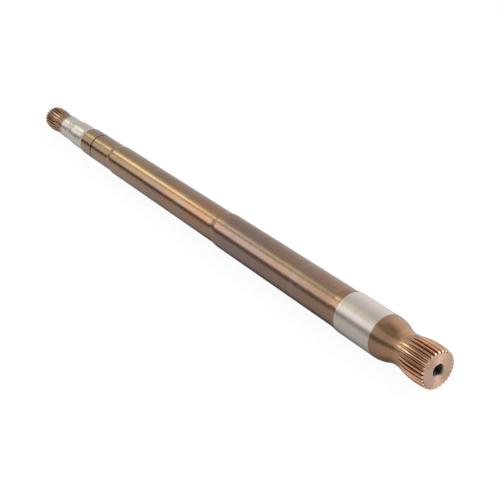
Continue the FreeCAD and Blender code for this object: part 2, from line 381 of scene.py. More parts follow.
class Skin:
    """One closed surface, gathered from grids of rings round the shaft."""

    def __init__(self, origin_at):
        self.origin_at = origin_at
        self.points = []
        self.faces = []
        self.finishes = []
        self.spaces = []
        self.size = 0
        self.last_ring = None

    def add(self, station, radius, angle, finish, space=0.0, closed=True, joined=True):
        """Adds a grid with a ring in each row, and joins its first ring to the ring before it.

        A point lies at (origin - station, -radius * sin(angle), radius * cos(angle)).
        """
        station, radius, angle, space = np.broadcast_arrays(station, radius, angle, space)
        x = self.origin_at - station
        grid = np.stack([x, -radius * np.sin(angle), radius * np.cos(angle)], axis=-1)
        ids = self.size + np.arange(radius.size).reshape(radius.shape)
        if joined:
            self.join(ids[0], angle[0], np.ravel(finish)[0])
        ahead = np.roll(ids, -1, axis=1)
        quads = np.stack([ids[:-1], ahead[:-1], ahead[1:], ids[1:]], axis=-1)
        if not closed:
            quads = quads[:, :-1]
        self.points.append(grid.reshape(-1, 3))
        self.spaces.append(space.reshape(-1))
        self.faces += quads.reshape(-1, 4).tolist()
        self.finishes.append(np.repeat(np.broadcast_to(finish, len(quads)), quads.shape[1]))
        self.size += radius.size
        self.last_ring = (ids[-1], angle[-1])

    def join(self, ring, angle, finish):
        """Adds the triangles between two rings whose points are spaced differently.

        Each edge meets the other ring's point that comes last before it.
        """
        before, before_angle = self.last_ring
        full = 2 * math.pi
        before = before[np.argsort(before_angle % full)]
        before_angle = np.sort(before_angle % full)
        ring = ring[np.argsort(angle % full)]
        angle = np.sort(angle % full)
        behind = before[np.searchsorted(before_angle, angle, "left") - 1]
        first = np.stack([np.roll(ring, 1), ring, behind], axis=-1)
        ahead = ring[np.searchsorted(angle, before_angle, "right") - 1]
        second = np.stack([np.roll(before, 1), before, ahead], axis=-1)
        triangles = np.concatenate([first, second])
        self.faces += triangles.tolist()
        self.finishes.append(np.full(len(triangles), finish))

    def mesh(self, name):
        """The welded mesh, faces outward, with a space attribute that is 1 at a tooth's root."""
        mesh = bpy.data.meshes.new(name)
        mesh.from_pydata(np.concatenate(self.points), [], self.faces)
        mesh.polygons.foreach_set("material_index", np.concatenate(self.finishes).astype(np.int32))
        attribute = mesh.attributes.new("space", "FLOAT", "POINT")
        attribute.data.foreach_set("value", np.concatenate(self.spaces).astype(np.float32))
        work = bmesh.new()
        work.from_mesh(mesh)
        bmesh.ops.remove_doubles(work, verts=work.verts, dist=WELD)
        bmesh.ops.recalc_face_normals(work, faces=work.faces)
        work.to_mesh(mesh)
        work.free()
        mesh.shade_smooth()
        mesh.set_sharp_from_angle(angle=SHARP_ANGLE)
        return mesh


def even_turn(columns):
    """Angles of a ring of evenly spaced points."""
    return np.arange(columns) * 2 * math.pi / columns


def softened(corners, reach):
    """Corner points of an outline replaced by short curves, which start and end at their reach.

    Each is the quadratic (1 - t)^2 start + 2 t (1 - t) corner + t^2 end.
    """
    before, corner, after = corners[:-2], corners[1:-1], corners[2:]
    back, forth = before - corner, after - corner
    back_length = np.linalg.norm(back, axis=1, keepdims=True)
    forth_length = np.linalg.norm(forth, axis=1, keepdims=True)
    reach = np.minimum(reach[1:-1, None], CORNER_SHARE * np.minimum(back_length, forth_length))
    start = corner + back / back_length * reach
    end = corner + forth / forth_length * reach
    t = np.linspace(0.0, 1.0, CORNER_ROWS)[None, :, None]
    start, corner, end = start[:, None], corner[:, None], end[:, None]
    curve = (1 - t) ** 2 * start + 2 * t * (1 - t) * corner + t ** 2 * end
    return np.concatenate([corners[:1], curve.reshape(-1, 2), corners[-1:]])


def with_support_rows(outline, margin, spacing):
    """Adds rows a margin inside both ends of each stretch over four margins long, and evenly along.

    Rows that are the same to seven decimals become one.
    """
    steps = np.hypot(*np.diff(outline, axis=0).T)
    along = np.concatenate([[0.0], np.cumsum(steps)])
    long = steps > 4 * margin
    inside = [along[:-1][long] + margin, along[1:][long] - margin]
    rows = np.concatenate([along, *inside, np.arange(spacing, along[-1], spacing)])
    rows = np.unique(np.round(rows, 7))
    return np.stack([np.interp(rows, along, outline[:, k]) for k in (0, 1)], axis=-1)


class ShaftPlan:
    """Stations and outline of the whole shaft, worked out from the panel's sizes."""

    def __init__(self, scene):
        self.bar = bar = scene.shaft_bar
        self.near = SplineEnd(scene.shaft_near_spline, scene.shaft_tooth, bar.near_seat)
        self.far = SplineEnd(scene.shaft_far_spline, scene.shaft_tooth, bar.journal)
        self.near_seat_end = self.near.seat_at + bar.near_seat_length
        self.body_at = self.near_seat_end + bar.near_seat_taper
        self.body_end = self.body_at + bar.body_length
        self.middle_at = self.body_end + bar.body_taper
        self.middle_end = self.middle_at + bar.middle_length
        self.collar_at = self.middle_end + bar.middle_taper
        self.collar_end = self.collar_at + bar.collar_length
        self.groove_at = self.collar_end - bar.groove_from_edge
        self.far_seat_at = self.collar_end + bar.far_seat_taper
        self.far_seat_end = self.far_seat_at + bar.far_seat_length
        self.journal_at = self.far_seat_end + bar.far_cone_length
        self.journal_end = self.journal_at + bar.journal_length
        self.length = self.journal_end + self.far.seat_at
        self.origin_at = self.near.seat_at + bar.near_seat_length / 2

    def corners(self):
        """Corners of the outline from the near seat to the journal, each with its softness."""
        bar = self.bar
        soft, crisp = bar.corner_softness, bar.edge_softness
        groove_end = self.groove_at + bar.groove_width
        floor = bar.collar / 2 - bar.groove_depth
        start_at = self.near.seat_at + bar.ground_start
        lip_at = self.near_seat_end - bar.ground_lip
        rows = [
            (start_at, bar.near_seat / 2, crisp),
            (lip_at, bar.near_seat / 2, crisp),
            (self.near_seat_end, bar.near_seat / 2, soft),
            (self.body_at, bar.body / 2, soft),
            (self.body_end, bar.body / 2, soft),
            (self.middle_at, bar.middle / 2, soft),
            (self.middle_end, bar.middle / 2, soft),
            (self.collar_at, bar.collar / 2, soft),
            (self.groove_at, bar.collar / 2, crisp),
            (self.groove_at, floor, crisp),
            (groove_end, floor, crisp),
            (groove_end, bar.collar / 2, crisp),
            (self.collar_end, bar.collar / 2, soft),
            (self.far_seat_at, bar.far_seat / 2, soft),
            (self.far_seat_end, bar.far_seat / 2, soft),
            (self.journal_at, bar.journal / 2, soft),
            (self.journal_end - crisp, bar.journal / 2, crisp),
        ]
        return np.array(rows)

    def bar_rows(self, first):
        """Stations and radii from the near neck to the journal: two arcs, then softened corners."""
        neck = np.linspace(first, self.near.seat_at, ARC_ROWS)
        curved = np.stack([neck, self.near.radius(neck)], axis=-1)
        start = np.array([[self.near.seat_at, self.near.seat, 0.0]])
        corners = np.concatenate([start, self.corners()])
        straight = with_support_rows(softened(corners[:, :2], corners[:, 2]), RING_GAP, STRETCH_GAP)
        return np.concatenate([curved[:-1], straight])

    def finish(self, station):
        """Finish at each station: ground on the near seat and from the collar to the far neck."""
        bar = self.bar
        edges = [
            self.near.seat_at + bar.ground_start, self.near_seat_end - bar.ground_lip,
            self.collar_end, self.journal_end,
        ]
        return np.array([TINTED, GROUND, TINTED, GROUND, TINTED])[np.searchsorted(edges, station)]


def thread_grid(hole):
    """Depths, radii and angles of the tapped length, as rows that follow the thread.

    A row's depth is pitch * (row / rows a turn - share of the turn), kept inside the hole, so the
    grid closes on itself one turn further down. The radius rises from the drilled size by a
    trapezoid wave along the rows, fades out at the bottom and never lies inside the countersink.
    """
    rows = np.arange(THREAD_ROWS * (math.ceil(hole.thread_depth / hole.pitch) + 1) + 1)[:, None]
    turn_share = np.linspace(0.0, 1.0, HOLE_COLUMNS + 1)[None]
    depth = np.clip(hole.pitch * (rows / THREAD_ROWS - turn_share), 0.0, hole.thread_depth)
    wave = 1 - np.abs(2 * (rows / THREAD_ROWS % 1) - 1)
    crest = np.clip((wave - THREAD_FLAT) / (1 - THREAD_FLAT), 0.0, 1.0)
    fade = np.clip((hole.thread_depth - depth) / (FADE_TURNS * hole.pitch), 0.0, 1.0)
    radius = hole.drill / 2 + (hole.major - hole.drill) / 2 * crest * fade
    return depth, np.maximum(radius, hole.mouth / 2 - depth), turn_share * 2 * math.pi


def joined_spans(*spans):
    """Evenly spaced values over spans that follow each other, each a (start, end, rows)."""
    values = [np.linspace(*span) for span in spans]
    return np.concatenate([values[0], *[later[1:] for later in values[1:]]])


def add_teeth(skin, spline, depth, station):
    """Adds the rows of one spline, with its chamfer as a part of the end face."""
    angles, radii, spaces = spline.rings(depth)
    past_chamfer = np.maximum(depth[1:], depth[:-1]) > spline.tooth.chamfer
    skin.add(station[:, None], radii, angles, np.where(past_chamfer, TINTED, FACED), spaces)


def shaft_mesh(plan, hole):
    """The whole shaft from the bottom of the tapped hole to the bottom of the lathe centre."""
    skin = Skin(plan.origin_at)
    near, far = plan.near, plan.far
    around_hole = even_turn(HOLE_COLUMNS)[None]

    # Tapped hole
    depth, radius, angle = thread_grid(hole)
    skin.add(depth, radius, angle, BORED, closed=False, joined=False)
    drill = hole.drill / 2
    point = drill / math.tan(hole.point_angle)
    bottom = np.array([(hole.thread_depth, drill), (hole.depth, drill), (hole.depth + point, 0.0)])
    skin.add(bottom[:, :1], bottom[:, 1:], around_hole, BORED, joined=False)

    # Near face and teeth
    face = np.linspace(hole.mouth / 2, near.root - FACE_GAP, NEAR_FACE_ROWS)[:, None]
    skin.add(0.0, face, around_hole, FACED, joined=False)
    chamfer = near.tooth.chamfer
    runout, teeth_end = near.lift_at - RUNOUT_LEAD, near.lift_at + RUNOUT_REACH
    depth = joined_spans(
        (0.0, chamfer, CHAMFER_ROWS), (chamfer, runout, TEETH_ROWS),
        (runout, teeth_end, RUNOUT_ROWS),
    )
    add_teeth(skin, near, depth, depth)

    # Turned and ground lengths
    rows = plan.bar_rows(teeth_end + RING_GAP)
    middles = (rows[1:, 0] + rows[:-1, 0]) / 2
    skin.add(rows[:, :1], rows[:, 1:], even_turn(BAR_COLUMNS)[None], plan.finish(middles))

    # Far teeth and face
    depth = joined_spans(
        (0.0, chamfer, CHAMFER_ROWS), (chamfer, far.lift_at, ARC_ROWS),
        (far.lift_at, far.seat_at, ARC_ROWS),
    )[::-1]
    add_teeth(skin, far, depth, plan.length - depth)
    mouth, pilot = hole.centre_mouth / 2, hole.centre_pilot / 2
    face = np.linspace(far.root - FACE_GAP, mouth, FAR_FACE_ROWS)[:, None]
    skin.add(plan.length, face, around_hole, FACED)

    # Lathe centre
    cone = (mouth - pilot) / math.tan(hole.centre_angle)
    tip = hole.centre_depth + pilot / math.tan(hole.point_angle)
    centre = np.array([(0.0, mouth), (cone, pilot), (hole.centre_depth, pilot), (tip, 0.0)])
    skin.add(plan.length - centre[:, :1], centre[:, 1:], around_hole, BORED, joined=False)
    return skin.mesh("shaft")


class Tree:
    """Adds nodes to a node tree, each with its settings, and links or sets their inputs."""

    def __init__(self, tree):
        self.tree = tree

    def feed(self, socket, value):
        """Links an output to the socket, or sets the socket to a plain value."""
        if isinstance(value, bpy.types.NodeSocket):
            self.tree.links.new(value, socket)
        else:
            socket.default_value = value

    def add(self, kind, inputs=(), **settings):
        """A node of that kind. inputs pairs a socket's name or number with an output or a value."""
        node = self.tree.nodes.new(kind)
        for key, value in settings.items():
            setattr(node, key, value)
        for key, value in dict(inputs).items():
            self.feed(node.inputs[key], value)
        return node

    def group(self, name, inputs):
        """The outputs of a shared node group, placed here with its own values."""
        return self.add("ShaderNodeGroup", inputs, node_tree=bpy.data.node_groups[name]).outputs

    def axes(self, place):
        """The X, Y and Z of a vector."""
        return tuple(self.add("ShaderNodeSeparateXYZ", {0: place}).outputs)

    def maths(self, operation, *values, clamp=False):
        """The result of a Math node."""
        node = self.add("ShaderNodeMath", enumerate(values), operation=operation, use_clamp=clamp)
        return node.outputs[0]

    def mix(self, factor, first, second, blend="MIX"):
        """A colour mixed from two."""
        inputs = {0: factor, 6: first, 7: second}
        return self.add("ShaderNodeMix", inputs, data_type="RGBA", blend_type=blend).outputs[2]

    def noise(self, place, scale, detail):
        """A noise in space, mostly inside NOISE_SPAN."""
        inputs = {"Vector": place, "Scale": scale, "Detail": detail}
        return self.add("ShaderNodeTexNoise", inputs).outputs[0]

    def rescale(self, value, low, high, to_low=0.0, to_high=1.0, curve="LINEAR"):
        """The value carried over from one span to another, and held at the ends."""
        inputs = {
            "Value": value, "From Min": low, "From Max": high, "To Min": to_low, "To Max": to_high,
        }
        return self.add("ShaderNodeMapRange", inputs, interpolation_type=curve).outputs[0]

    def ramp(self, share, stops, curve="LINEAR"):
        """A colour that changes with the share, through (share, colour) stops."""
        node = self.add("ShaderNodeValToRGB", {0: share})
        node.color_ramp.interpolation = curve
        elements = node.color_ramp.elements
        while len(elements) < len(stops):
            elements.new(1.0)
        for element, (position, colour) in zip(elements, stops):
            element.position = position
            element.color = colour
        return node.outputs[0]


# Kinds of the groups' sockets, and the values between which most of a noise lies
FLOAT, VECTOR = "NodeSocketFloat", "NodeSocketVector"
NOISE_SPAN = (0.3, 0.7)


def new_group(name, inputs, outputs):
    """An empty shader node group that puts out values, as (tree, what comes in, what goes out)."""
    group = bpy.data.node_groups.new(name, "ShaderNodeTree")
    for socket, kind, default in inputs:
        made = group.interface.new_socket(socket, in_out="INPUT", socket_type=kind)
        if default is not None:
            made.default_value = default
    for socket in outputs:
        group.interface.new_socket(socket, in_out="OUTPUT", socket_type=FLOAT)
    tree = Tree(group)
    return tree, tree.add("NodeGroupInput").outputs, tree.add("NodeGroupOutput").inputs


def turning_lines_group():
    """Fine rings left by a lathe or a grinding wheel, from noise stretched round the shaft."""
    inputs = [
        ("Place", VECTOR, None),
        ("Lines", FLOAT, 2500.0),
        ("Streaks", FLOAT, 260.0),
        ("Drift", FLOAT, 20.0),
    ]
    tree, given, out = new_group("turning_lines", inputs, ["Height", "Streak"])
    x, y, z = tree.axes(given["Place"])
    layers = (("Height", given["Lines"], 2.0), ("Streak", given["Streaks"], 3.0))
    for output, scale, detail in layers:
        along = tree.maths("MULTIPLY", x, scale)
        side = tree.maths("MULTIPLY", y, given["Drift"])
        up = tree.maths("MULTIPLY", z, given["Drift"])
        place = tree.add("ShaderNodeCombineXYZ", {0: along, 1: side, 2: up}).outputs[0]
        tree.feed(out[output], tree.noise(place, 1.0, detail))


def heat_ring_group():
    """A soft ring round the shaft: 1 at its centre's station, falling to 0 at its half width."""
    inputs = [("Station", FLOAT, 0.0), ("Centre", FLOAT, 0.0), ("Half width", FLOAT, 0.01)]
    tree, given, out = new_group("heat_ring", inputs, ["Mask"])
    away = tree.maths("ABSOLUTE", tree.maths("SUBTRACT", given["Station"], given["Centre"]))
    tree.feed(out["Mask"], tree.rescale(away, given["Half width"], 0.0, curve="SMOOTHSTEP"))


def scuff_group():
    """Small sparse nicks and rubs: the peaks of a noise, kept to patches by a wider noise."""
    inputs = [("Place", VECTOR, None), ("Scale", FLOAT, 160.0), ("Amount", FLOAT, 0.3)]
    tree, given, out = new_group("scuffs", inputs, ["Mask"])
    fine = tree.noise(given["Place"], given["Scale"], detail=4.0)
    wide = tree.noise(given["Place"], scale=22.0, detail=1.0)
    start = tree.maths("SUBTRACT", 0.5, tree.maths("MULTIPLY", given["Amount"], 0.5))
    tree.feed(out["Mask"], tree.rescale(tree.maths("MULTIPLY", fine, wide), start, 0.55))


def new_material(name):
    """A metal, as (material, tree, its Principled shader's inputs, object coordinates)."""
    material = bpy.data.materials.new(name)
    material.use_nodes = True
    tree = Tree(material.node_tree)
    shader = material.node_tree.nodes["Principled BSDF"].inputs
    shader["Metallic"].default_value = 1.0
    return material, tree, shader, tree.add("ShaderNodeTexCoord").outputs["Object"]


def rgba(colour):
    """A colour property with full alpha."""
    return (*colour, 1.0)


def station_of(tree, place, plan):
    """The station of a place: origin - X."""
    return tree.maths("SUBTRACT", plan.origin_at, tree.axes(place)[0])


def end_depth(tree, place, plan):
    """Depth in from the nearer end face: the smaller of station and length - station."""
    station = station_of(tree, place, plan)
    return tree.maths("MINIMUM", station, tree.maths("SUBTRACT", plan.length, station))


def ringed(tree, colour, station, rings):
    """The colour with soft rings: each a station, a half width, a strength and its colour."""
    for centre, half_width, strength, ring_colour in rings:
        inputs = {"Station": station, "Centre": centre, "Half width": half_width}
        ring = tree.group("heat_ring", inputs)["Mask"]
        colour = tree.mix(tree.maths("MULTIPLY", ring, strength), colour, rgba(ring_colour))
    return colour


def streaked(tree, colour, streak, swing):
    """The colour with streaks that are darker and lighter by as much as the swing."""
    shade = tree.rescale(streak, *NOISE_SPAN, 1 - swing, 1 + swing)
    grey = tree.add("ShaderNodeCombineColor", {0: shade, 1: shade, 2: shade}).outputs[0]
    return tree.mix(1.0, colour, grey, blend="MULTIPLY")


def relief(tree, shader, height, strength, distance):
    """Bumps the shader's normal by a height."""
    inputs = {"Height": height, "Strength": strength, "Distance": distance}
    tree.feed(shader["Normal"], tree.add("ShaderNodeBump", inputs).outputs[0])


def round_grain(tree, shader, anisotropy):
    """Stretches the gloss along the shaft, across grooves that run round it."""
    tangent = tree.add("ShaderNodeTangent", direction_type="RADIAL", axis="X")
    tree.feed(shader["Tangent"], tangent.outputs[0])
    shader["Anisotropic"].default_value = anisotropy
    shader["Anisotropic Rotation"].default_value = 0.25


def tinted_steel(plan, colours):
    """Heat-tinted turned steel: a temper film that changes along it, rings, soot and painted shade,
    and scuffs.
    """
    material, tree, shader, place = new_material("heat_tinted_steel")
    station = station_of(tree, place, plan)

    # Station and film
    zones = (
        (0.0, colours.crest), (0.020, colours.crest), (0.031, colours.spline),
        (0.041, colours.spline), (0.053, colours.brown), (0.097, colours.copper),
        (0.111, colours.brown), (0.189, colours.brown), (0.209, colours.mauve),
        (0.255, colours.mauve), (0.271, colours.copper), (0.317, colours.copper),
        (0.329, colours.gold), (0.355, colours.copper), (0.371, colours.brown),
        (0.399, colours.gold), (0.469, colours.gold), (0.509, colours.gold),
        (0.544, colours.gold), (0.603, colours.spline), (0.646, colours.spline),
    )
    stops = [(at / plan.length, rgba(colour)) for at, colour in zones]
    film = tree.ramp(tree.maths("DIVIDE", station, plan.length), stops, "B_SPLINE")

    # Station, half width, strength and colour: rings in the film, then painted shade in the ring
    # groove and a darker ring at the collar's edge
    dark_ring_colour = [0.25 * channel for channel in colours.soot_and_shade]
    groove = plan.groove_at + plan.bar.groove_width / 2
    collar_edge = plan.collar_end - 0.0005
    rings = (
        (0.149, 0.009, 0.5, colours.slate), (0.329, 0.007, 0.6, colours.slate),
        (0.368, 0.003, 0.4, colours.slate), (0.391, 0.004, 0.5, colours.slate),
        # Painted shade in the ring groove, and a darker ring at the collar's edge
        (groove, 0.0019, 0.9, dark_ring_colour), (collar_edge, 0.0009, 0.6, dark_ring_colour),
    )
    lines = tree.group("turning_lines", {"Place": place, "Lines": 2600.0, "Streaks": 300.0})
    colour = streaked(tree, ringed(tree, film, station, rings), lines["Streak"], swing=0.07)
    # Tooth spaces darken towards their roots: residue and painted shade
    space = tree.add("ShaderNodeAttribute", attribute_name="space").outputs["Fac"]
    soot_and_shade_mask = tree.rescale(space, 0.3, 1.0, to_high=0.9)
    tree.feed(shader["Base Color"], tree.mix(soot_and_shade_mask, colour, rgba(colours.soot_and_shade)))

    scuffs = tree.group("scuffs", {"Place": place})["Mask"]
    rough = tree.rescale(lines["Streak"], *NOISE_SPAN, to_low=0.21, to_high=0.25)
    tree.feed(shader["Roughness"], tree.maths("MULTIPLY_ADD", scuffs, 0.15, rough))
    shader["Specular Tint"].default_value = (0.85, 0.85, 0.85, 1.0)
    relief(tree, shader, lines["Height"], strength=0.05, distance=0.00002)
    return material


def ground_steel(plan, colours):
    """Bare ground steel with fine rings, and one grey line round the journal."""
    material, tree, shader, place = new_material("ground_steel")
    lines = tree.group("turning_lines", {"Place": place, "Lines": 4000.0, "Streaks": 500.0})
    colour = streaked(tree, rgba(colours.ground), lines["Streak"], swing=0.04)
    grey_line = (0.5762, 0.0009, 0.5, colours.slate)
    station = station_of(tree, place, plan)
    tree.feed(shader["Base Color"], ringed(tree, colour, station, [grey_line]))
    shader["Roughness"].default_value = 0.33
    round_grain(tree, shader, anisotropy=0.25)
    relief(tree, shader, lines["Height"], strength=0.03, distance=0.00002)
    return material


def faced_steel(plan, colours):
    """Turned end faces with rings about the axis, and paler chamfers."""
    material, tree, shader, place = new_material("faced_steel")
    y, z = tree.axes(place)[1:]
    across = tree.add("ShaderNodeCombineXYZ", {1: y, 2: z}).outputs[0]
    radius = tree.add("ShaderNodeVectorMath", {0: across}, operation="LENGTH").outputs["Value"]
    inputs = {"W": tree.maths("MULTIPLY", radius, 1800.0), "Scale": 1.0, "Detail": 2.0}
    rings = tree.add("ShaderNodeTexNoise", inputs, noise_dimensions="1D").outputs[0]
    patches = tree.noise(place, scale=90.0, detail=2.0)
    both = tree.maths("MULTIPLY_ADD", rings, 0.5, tree.maths("MULTIPLY", patches, 0.5))
    cooler = tree.rescale(both, 0.42, 0.6)
    colour = tree.mix(cooler, rgba(colours.faced), rgba(colours.fan))
    chamfered = tree.rescale(end_depth(tree, place, plan), 0.00002, 0.00015)
    tree.feed(shader["Base Color"], tree.mix(chamfered, colour, rgba(colours.facet)))
    shader["Roughness"].default_value = 0.45
    round_grain(tree, shader, anisotropy=0.8)
    relief(tree, shader, rings, strength=0.12, distance=0.00003)
    return material


def bore_steel_and_shade(plan, colours):
    """Steel inside the tapped hole and the lathe centre: bare at both mouths, painted shade deeper
    in.
    """
    material, tree, shader, place = new_material("bore_steel_and_shade")
    wear = tree.noise(place, scale=400.0, detail=3.0)
    tree.feed(shader["Roughness"], tree.rescale(wear, 0.0, 1.0, to_low=0.22, to_high=0.42))
    # Darker deeper in: painted shade in the holes
    inside = tree.rescale(end_depth(tree, place, plan), 0.0009, 0.0016)
    tree.feed(shader["Base Color"], tree.mix(inside, rgba(colours.mouth), rgba(colours.bore_shade)))
    return material


class SHAFT_OT_build(bpy.types.Operator):
    """Builds the shaft with its four finishes and puts it on its body"""
    bl_idname = "shaft.build"
    bl_label = "Build Shaft"
    bl_options = {"REGISTER", "UNDO"}

    def execute(self, context):
        scene = context.scene
        plan = ShaftPlan(scene)
        mesh = shaft_mesh(plan, scene.shaft_holes)
        for make_group in (turning_lines_group, heat_ring_group, scuff_group):
            make_group()
        for make_material in (tinted_steel, ground_steel, faced_steel, bore_steel_and_shade):
            mesh.materials.append(make_material(plan, scene.shaft_finish))
        shaft = bpy.data.objects.new("shaft", mesh)
        scene.collection.objects.link(shaft)
        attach(shaft, BODY)
        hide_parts(NODE)
        self.report({"INFO"}, f"shaft of {len(mesh.vertices)} points")
        return {"FINISHED"}


# Reflectors along the shaft: name, distance, angle from straight up and spread in degrees, colour,
# and brightness beside white by X
WHITE = (1.0, 1.0, 1.0, 1.0)
TUBE = (0.88, 1.0, 0.74, 1.0)
HALO = (1.0, 1.0, 0.8, 1.0)
REFLECTORS = (
    ("front_reflector", 1.0, 57, 34, WHITE, (
        (-7.0, 1.0), (-2.1, 1.2), (-1.9, 1.1), (-1.7, 2.8), (-1.3, 2.85), (-1.0, 2.45),
        (-0.86, 1.3), (-0.74, 1.5), (-0.6, 1.1), (0.3, 0.8),
    )),
    ("near_tube", 1.0, 22.8, 14.5, TUBE, (
        (-1.45, 1.3), (-1.25, 2.5), (-1.0, 2.6), (-0.87, 0.95), (-0.8, 0.62), (-0.3, 0.5),
        (0.3, 0.75),
    )),
    ("far_tube", 1.0, 21.5, 15.5, TUBE, (
        (-7.0, 1.0), (-2.2, 0.78), (-2.05, 5.2), (-1.9, 4.4), (-1.7, 6.8), (-1.6, 6.6), (-1.5, 1.7),
        (-1.45, 1.3),
    )),
    ("far_halo", 1.2, 11, 26, HALO, (
        (-7.0, 0.85), (-2.5, 0.85), (-1.9, 1.6), (-1.85, 1.4), (-1.65, 0.8),
    )),
)

# Dark card that stands on the floor by the shaft: distance, angle of its top, brightness by X
FLAG_DISTANCE = 0.17
FLAG_TOP_ANGLE = 74
FLAG_LEVELS = ((-2.2, 0.08), (-0.55, 0.08), (-0.25, 0.3), (0.25, 0.3))

# Brightness of the surroundings, beside white: as a light, and in a gloss by the X of the direction
WORLD_LIGHT = 0.6
WORLD_LEVELS = (
    (-1.0, 0.84), (-0.83, 0.87), (-0.75, 0.91), (-0.7, 1.05), (-0.65, 1.52), (-0.61, 1.25),
    (-0.5, 1.5), (0.45, 1.4), (0.7, 3.8), (0.88, 3.8), (1.0, 0.9),
)

# Share of that brightness which is left above the shaft, by X, and the Y of the direction from
# which it is whole
WORLD_ABOVE = (
    (-0.8, 0.95), (-0.75, 0.88), (-0.7, 0.8), (-0.58, 0.66), (-0.2, 0.32), (0.45, 0.3), (0.7, 0.12),
)
WORLD_WHOLE_Y = 0.6

# Floor: its paint, how plain white the camera sees it, and how much brighter than white that is
FLOOR_PAINT = 0.9
FLOOR_SEEN = 0.88
FLOOR_LIFT = 0.06

# Floor in a gloss, by X: how plain white it looks, painted light that lifts its shadow most at the
# ends, and how much darker a strip under the shaft is, a painted shadow
FLOOR_PLAINNESS = ((-0.5, 0.85), (-0.43, 0.68), (-0.3, 0.55), (0.06, 0.52), (0.1, 0.85))
FLOOR_PAINTED_SHADOW = (
    (-0.5, 0.4), (-0.43, 0.42), (-0.35, 0.44), (-0.27, 0.52), (-0.22, 0.68), (-0.15, 0.78),
    (-0.04, 0.8), (0.0, 0.6), (0.03, 0.58), (0.05, 0.1), (0.1, 0.0),
)
STRIP_EDGE = 0.024
STRIP_CORE = 0.011

ALONG = Vector((1.0, 0.0, 0.0))
PICTURE_WIDTH = 500


def across_shaft(degrees):
    """Direction away from the axis at an angle from straight up towards -Y."""
    angle = math.radians(degrees)
    return Vector((0.0, -math.sin(angle), math.cos(angle)))


def softbox(name, angle, spread, distance, from_x, to_x, strength):
    """A lamp that runs along the shaft and faces it, with its angle and spread in degrees.

    Its strength is its brightness beside white.
    """
    data = bpy.data.lights.new(name, "AREA")
    data.shape = "RECTANGLE"
    data.size = to_x - from_x
    data.size_y = 2 * distance * math.tan(math.radians(spread / 2))
    data.energy = strength * math.pi * data.size * data.size_y
    away = across_shaft(angle)
    middle = away * distance + ALONG * (from_x + to_x) / 2
    turned = Matrix((ALONG, away.cross(ALONG), away)).transposed().to_4x4()
    lamp = bpy.data.objects.new(name, data)
    lamp.matrix_world = Matrix.Translation(middle) @ turned
    lamp.visible_camera = lamp.visible_glossy = False
    bpy.context.scene.collection.objects.link(lamp)


def level_along(tree, value, stops):
    """A brightness that runs straight from each (place, brightness) stop to the next."""
    first, last = stops[0][0], stops[-1][0]
    peak = max(level for at, level in stops)
    share = tree.rescale(value, first, last)
    greys = [((at - first) / (last - first), rgba([level / peak] * 3)) for at, level in stops]
    return tree.maths("MULTIPLY", tree.ramp(share, greys), peak)


def seen_in_gloss(tree, rays):
    """1 for a ray that a gloss or a glass sends out."""
    return tree.maths("ADD", rays["Is Glossy Ray"], rays["Is Transmission Ray"])


def bare_material(name):
    """A material without a shader, as (material, tree, the X, Y and Z of object coordinates)."""
    material = bpy.data.materials.new(name)
    material.use_nodes = True
    material.node_tree.nodes.clear()
    tree = Tree(material.node_tree)
    return material, tree, tree.axes(tree.add("ShaderNodeTexCoord").outputs["Object"])


def flat_sheet(name, corners, material):
    """A stage object of one rectangle."""
    mesh = bpy.data.meshes.new(name)
    mesh.from_pydata(corners, [], [(0, 1, 2, 3)])
    mesh.materials.append(material)
    sheet = bpy.data.objects.new(name, mesh)
    bpy.context.scene.collection.objects.link(sheet)
    return sheet


def facing_edges(distance, angle, spread):
    """Both edges' (Y, Z) of a sheet that faces the shaft, with its angle and spread in degrees.

    They lie distance * tan(spread / 2) to either side of the sheet's middle.
    """
    away = across_shaft(angle) * distance
    side = away.cross(ALONG) * math.tan(math.radians(spread / 2))
    return (away + side).yz, (away - side).yz


def reflector(name, edges, colour, levels):
    """A sheet along the shaft between two (Y, Z) edges, which only gloss sees."""
    material, tree, place = bare_material(name)
    strength = level_along(tree, place[0], levels)
    glow = tree.add("ShaderNodeEmission", {"Color": colour, "Strength": strength})
    tree.add("ShaderNodeOutputMaterial", {0: glow.outputs[0]})
    start, end = levels[0][0], levels[-1][0]
    first, second = edges
    corners = [(start, *first), (end, *first), (end, *second), (start, *second)]
    sheet = flat_sheet(name, corners, material)
    sheet.visible_camera = sheet.visible_diffuse = sheet.visible_shadow = False


def floor_material():
    """White floor: diffuse for the shadow, mixed with plain white for the camera and for gloss,
    with a painted shadow under the shaft in gloss.
    """
    material, tree, place = bare_material("white_floor")
    x, y = place[:2]
    rays = tree.add("ShaderNodeLightPath").outputs
    mirrored = seen_in_gloss(tree, rays)
    seen = tree.maths("MULTIPLY", rays["Is Camera Ray"], FLOOR_SEEN)
    plainness = level_along(tree, x, FLOOR_PLAINNESS)
    factor = tree.maths("MULTIPLY_ADD", mirrored, plainness, seen, clamp=True)
    # A strip under the shaft that only a gloss sees darker: a painted shadow
    under = tree.rescale(tree.maths("ABSOLUTE", y), STRIP_EDGE, STRIP_CORE, curve="SMOOTHSTEP")
    painted_shadow = tree.maths("MULTIPLY", under, level_along(tree, x, FLOOR_PAINTED_SHADOW))
    shade = tree.maths("SUBTRACT", 1.0, tree.maths("MULTIPLY", painted_shadow, mirrored))
    paint = tree.add("ShaderNodeBsdfDiffuse", {"Color": tree.maths("MULTIPLY", shade, FLOOR_PAINT)})
    level = tree.maths("MULTIPLY_ADD", rays["Is Camera Ray"], FLOOR_LIFT, shade)
    glow = tree.add("ShaderNodeEmission", {"Strength": level})
    both = tree.add("ShaderNodeMixShader", {0: factor, 1: paint.outputs[0], 2: glow.outputs[0]})
    tree.add("ShaderNodeOutputMaterial", {0: both.outputs[0]})
    return material


